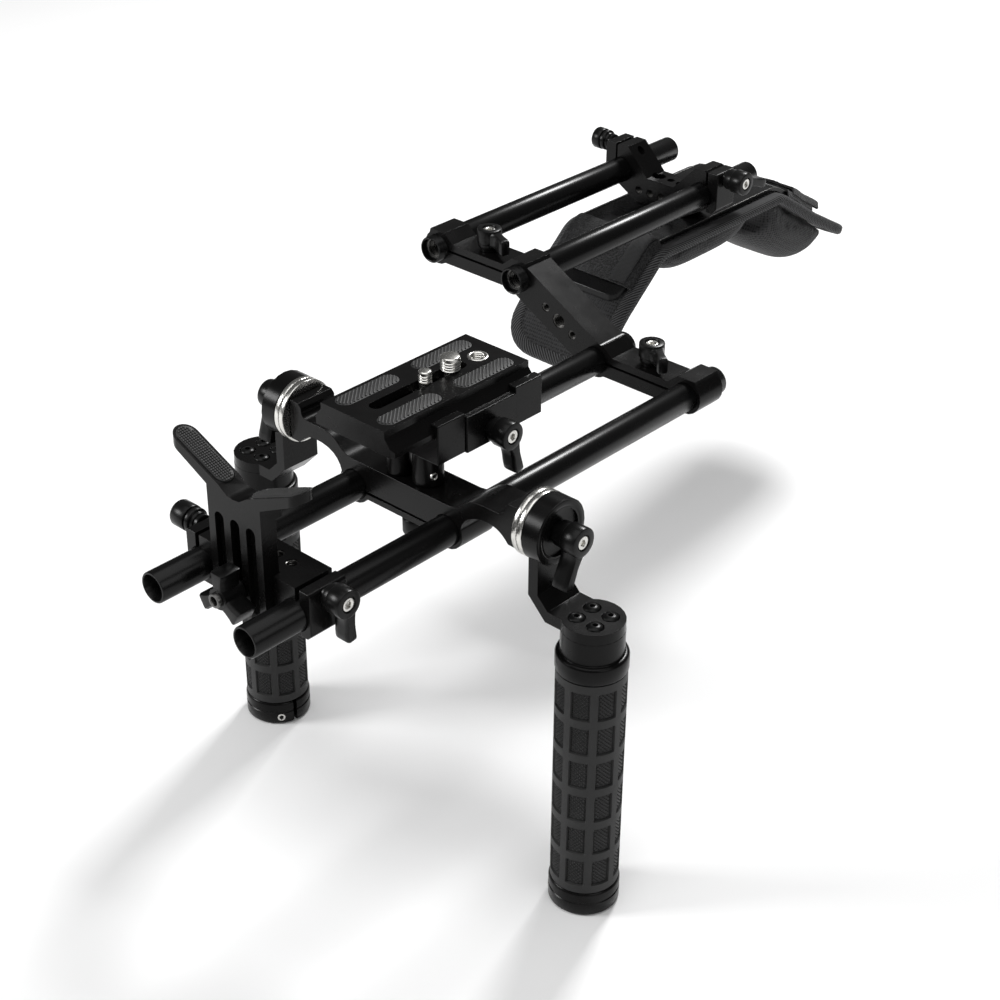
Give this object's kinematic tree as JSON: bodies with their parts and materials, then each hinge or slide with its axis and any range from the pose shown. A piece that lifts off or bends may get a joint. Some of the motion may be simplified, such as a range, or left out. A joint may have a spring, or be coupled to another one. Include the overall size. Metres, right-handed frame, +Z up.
{
  "type": "camera shoulder rig",
  "caption": "Shoulder rig on paired round rods: lens support, quick-release camera plate, two rosette hand grips, offset bracket and padded shoulder rest.",
  "frame": {"origin": "on the ground plane under the centre of the rig's bounding box", "axes": "+X to the operator's right, +Y rearwards along the rods towards the shoulder rest, +Z up"},
  "size_m": [0.2972, 0.6226, 0.2415],
  "materials": {
    "black_anodised": "fine bead-blasted black anodising",
    "black_cast": "satin black cast metal",
    "bright_steel": "turned bright steel",
    "grip_rubber": "moulded check-textured rubber",
    "ribbed_rubber": "ribbed grey-black rubber",
    "satin_plate": "satin black with a polished edge",
    "mesh_fabric": "black spacer mesh with twill binding",
    "strap_fabric": "hook-and-loop webbing"
  },
  "bodies": {
    "lower_rods": {"rod_lower_left": "black_anodised", "rod_lower_right": "black_anodised"},
    "offset_arm": {"offset_bracket": "black_anodised", "rod_upper_inner": "black_anodised", "rod_upper_outer": "black_anodised"},
    "offset_lever_upper": {"offset_lever_upper": "black_cast"},
    "offset_lever_lower": {"offset_lever_lower": "black_cast"},
    "shoulder_rest": {"rest_bracket": "black_anodised", "rest_plate": "satin_plate", "rest_mat": "mesh_fabric", "rest_cushion_front": "mesh_fabric", "rest_cushion_rear": "mesh_fabric", "rest_strap_front": "strap_fabric", "rest_strap_rear": "strap_fabric"},
    "rest_jaw_right": {"rest_jaw_right": "black_anodised"},
    "rest_lever": {"rest_lever": "black_cast", "rest_lever_bolt": "bright_steel"},
    "rest_jaw_left": {"rest_jaw_left": "black_anodised", "rest_end_nut": "black_cast"},
    "lens_clamp": {"lens_clamp_block": "black_anodised"},
    "lens_jaw_right": {"lens_clamp_jaw_right": "black_anodised"},
    "lens_lever": {"lens_clamp_lever": "black_cast", "lens_clamp_bolt": "bright_steel"},
    "lens_jaw_left": {"lens_clamp_jaw_left": "black_anodised", "lens_clamp_end_nut": "black_cast"},
    "lens_yoke": {"lens_yoke": "black_anodised", "lens_yoke_pad_right": "ribbed_rubber", "lens_yoke_pad_left": "ribbed_rubber"},
    "star_knob": {"lens_star_knob": "black_cast"},
    "cradle": {"cradle": "black_anodised", "rosette_cradle_right": "bright_steel", "rosette_cradle_left": "bright_steel", "qr_base": "black_anodised"},
    "cradle_lever": {"cradle_clamp_lever": "black_cast"},
    "plate_jaw": {"qr_jaw": "black_anodised"},
    "plate_lever": {"qr_lever": "black_cast", "qr_lever_bolt": "bright_steel"},
    "camera_plate": {"qr_plate": "black_anodised", "qr_pad_1": "ribbed_rubber", "qr_pad_2": "ribbed_rubber", "qr_pad_3": "ribbed_rubber", "qr_pad_4": "ribbed_rubber", "camera_bush": "bright_steel"},
    "screw_small": {"camera_screw_small": "bright_steel"},
    "screw_large": {"camera_screw_large": "bright_steel"},
    "grip_right": {"rosette_arm_right": "bright_steel", "grip_arm_right": "black_anodised", "grip_core_right": "black_anodised", "grip_sleeve_right": "grip_rubber", "grip_ring_right": "black_anodised"},
    "grip_lever_right": {"grip_lever_right": "black_cast", "grip_bolt_right": "bright_steel"},
    "grip_left": {"rosette_arm_left": "bright_steel", "grip_arm_left": "black_anodised", "grip_core_left": "black_anodised", "grip_sleeve_left": "grip_rubber", "grip_ring_left": "black_anodised"},
    "grip_lever_left": {"grip_lever_left": "black_cast", "grip_bolt_left": "bright_steel"}
  },
  "joints": [
    {"name": "offset_slide", "type": "slide", "parent": "lower_rods", "child": "offset_arm", "axis": [0, 1, 0], "range_m": [-0.04, 0.004]},
    {"name": "rest_slide", "type": "slide", "parent": "offset_arm", "child": "shoulder_rest", "axis": [0, 1, 0], "range_m": [-0.045, 0.02]},
    {"name": "cradle_slide", "type": "slide", "parent": "lower_rods", "child": "cradle", "axis": [0, 1, 0], "range_m": [-0.015, 0.04]},
    {"name": "lens_slide", "type": "slide", "parent": "lower_rods", "child": "lens_clamp", "axis": [0, 1, 0], "range_m": [-0.02, 0.015]},
    {"name": "yoke_height", "type": "slide", "parent": "lens_clamp", "child": "lens_yoke", "axis": [0, 0, 1], "range_m": [-0.026, 0.006]},
    {"name": "star_knob_turn", "type": "hinge", "parent": "lens_clamp", "child": "star_knob", "pos_m": [0.02295, -0.29432, 0.1784], "axis": [0, 1, 0], "range_deg": [-180, 180]},
    {"name": "lens_lever_turn", "type": "hinge", "parent": "lens_jaw_right", "child": "lens_lever", "pos_m": [0.06895, -0.27257, 0.1862], "axis": [1, 0, 0], "range_deg": [0, 720]},
    {"name": "lens_jaw_right_slide", "type": "slide", "parent": "lens_clamp", "child": "lens_jaw_right", "axis": [1, 0, 0], "range_m": [0, 0.001]},
    {"name": "lens_jaw_left_slide", "type": "slide", "parent": "lens_clamp", "child": "lens_jaw_left", "axis": [1, 0, 0], "range_m": [-0.001, 0]},
    {"name": "cradle_lever_turn", "type": "hinge", "parent": "cradle", "child": "cradle_lever", "pos_m": [0.02295, -0.17932, 0.166], "axis": [0, 0, 1], "range_deg": [-90, 90]},
    {"name": "plate_lever_turn", "type": "hinge", "parent": "plate_jaw", "child": "plate_lever", "pos_m": [0.05695, -0.15782, 0.2153], "axis": [1, 0, 0], "range_deg": [0, 1080]},
    {"name": "plate_jaw_slide", "type": "slide", "parent": "cradle", "child": "plate_jaw", "axis": [1, 0, 0], "range_m": [0, 0.003]},
    {"name": "plate_slide", "type": "slide", "parent": "cradle", "child": "camera_plate", "axis": [0, 1, 0], "range_m": [-0.025, 0.02]},
    {"name": "screw_small_slide", "type": "slide", "parent": "camera_plate", "child": "screw_small", "axis": [0, 1, 0], "range_m": [-0.02, 0.002]},
    {"name": "screw_large_slide", "type": "slide", "parent": "camera_plate", "child": "screw_large", "axis": [0, 1, 0], "range_m": [-0.002, 0.005]},
    {"name": "grip_right_tilt", "type": "hinge", "parent": "cradle", "child": "grip_right", "pos_m": [0.09945, -0.17932, 0.1947], "axis": [1, 0, 0], "range_deg": [-60, 45]},
    {"name": "grip_left_tilt", "type": "hinge", "parent": "cradle", "child": "grip_left", "pos_m": [-0.05355, -0.17932, 0.1947], "axis": [1, 0, 0], "range_deg": [-60, 45]},
    {"name": "grip_lever_right_turn", "type": "hinge", "parent": "grip_right", "child": "grip_lever_right", "pos_m": [0.11795, -0.17932, 0.1947], "axis": [1, 0, 0], "range_deg": [-90, 90]},
    {"name": "grip_lever_left_turn", "type": "hinge", "parent": "grip_left", "child": "grip_lever_left", "pos_m": [-0.07205, -0.17932, 0.1947], "axis": [1, 0, 0], "range_deg": [-90, 90]},
    {"name": "offset_lever_upper_turn", "type": "hinge", "parent": "offset_arm", "child": "offset_lever_upper", "pos_m": [-0.09205, -0.00482, 0.216], "axis": [0, 0, 1], "range_deg": [-90, 90]},
    {"name": "offset_lever_lower_turn", "type": "hinge", "parent": "offset_arm", "child": "offset_lever_lower", "pos_m": [0.02295, -0.00482, 0.186], "axis": [0, 0, 1], "range_deg": [-90, 90]},
    {"name": "rest_lever_turn", "type": "hinge", "parent": "rest_jaw_right", "child": "rest_lever", "pos_m": [-0.04205, 0.15418, 0.2176], "axis": [1, 0, 0], "range_deg": [0, 720]},
    {"name": "rest_jaw_right_slide", "type": "slide", "parent": "shoulder_rest", "child": "rest_jaw_right", "axis": [1, 0, 0], "range_m": [0, 0.001]},
    {"name": "rest_jaw_left_slide", "type": "slide", "parent": "shoulder_rest", "child": "rest_jaw_left", "axis": [1, 0, 0], "range_m": [-0.001, 0]}
  ],
  "couplings": [
    {"joint": "lens_lever_turn", "follows": "lens_jaw_right_slide", "rad_per_m": 12566},
    {"joint": "lens_jaw_left_slide", "follows": "lens_jaw_right_slide", "ratio": -1},
    {"joint": "rest_lever_turn", "follows": "rest_jaw_right_slide", "rad_per_m": 12566},
    {"joint": "rest_jaw_left_slide", "follows": "rest_jaw_right_slide", "ratio": -1},
    {"joint": "plate_lever_turn", "follows": "plate_jaw_slide", "rad_per_m": 6283.2}
  ]
}
